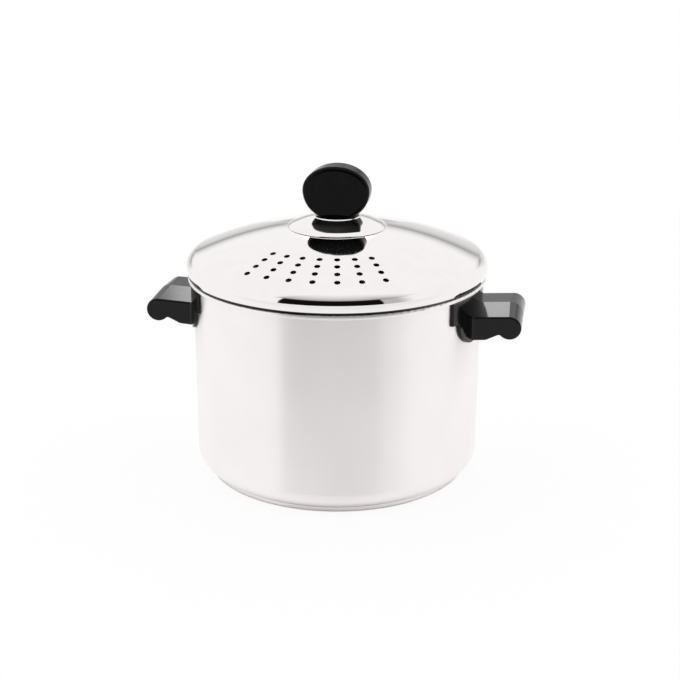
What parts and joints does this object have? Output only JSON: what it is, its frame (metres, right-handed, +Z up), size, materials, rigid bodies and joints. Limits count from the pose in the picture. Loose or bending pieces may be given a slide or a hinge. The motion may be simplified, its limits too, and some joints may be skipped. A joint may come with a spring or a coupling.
{
  "type": "stockpot",
  "caption": "Deep cylindrical stainless cooking pot with a raised-rim straining lid, an upright black knob on a domed guard, and two black side handles.",
  "frame": {"origin": "middle of the base where the pot stands", "axes": "+Z up; +X along the line of the two handles; the lid's holes lie on the -Y side"},
  "size_m": [0.2896, 0.2326, 0.2407],
  "materials": {
    "satin_steel": "satin",
    "polished_steel": "polished",
    "plain_steel": "satin",
    "core_aluminium": "satin",
    "brass": "satin",
    "black_phenolic": "gloss"
  },
  "bodies": {
    "root": {"base_cap": "satin_steel", "base_core": "core_aluminium", "knob": "black_phenolic", "knob_guard": "polished_steel", "knob_insert": "brass", "knob_screw": "plain_steel", "knob_washer": "plain_steel", "left_handle": "black_phenolic", "left_handle_bracket": "plain_steel", "left_handle_screw": "plain_steel", "left_handle_washer": "plain_steel", "lid_shell": "polished_steel", "pot_shell": "satin_steel", "right_handle": "black_phenolic", "right_handle_bracket": "plain_steel", "right_handle_screw": "plain_steel", "right_handle_washer": "plain_steel"}
  },
  "joints": []
}
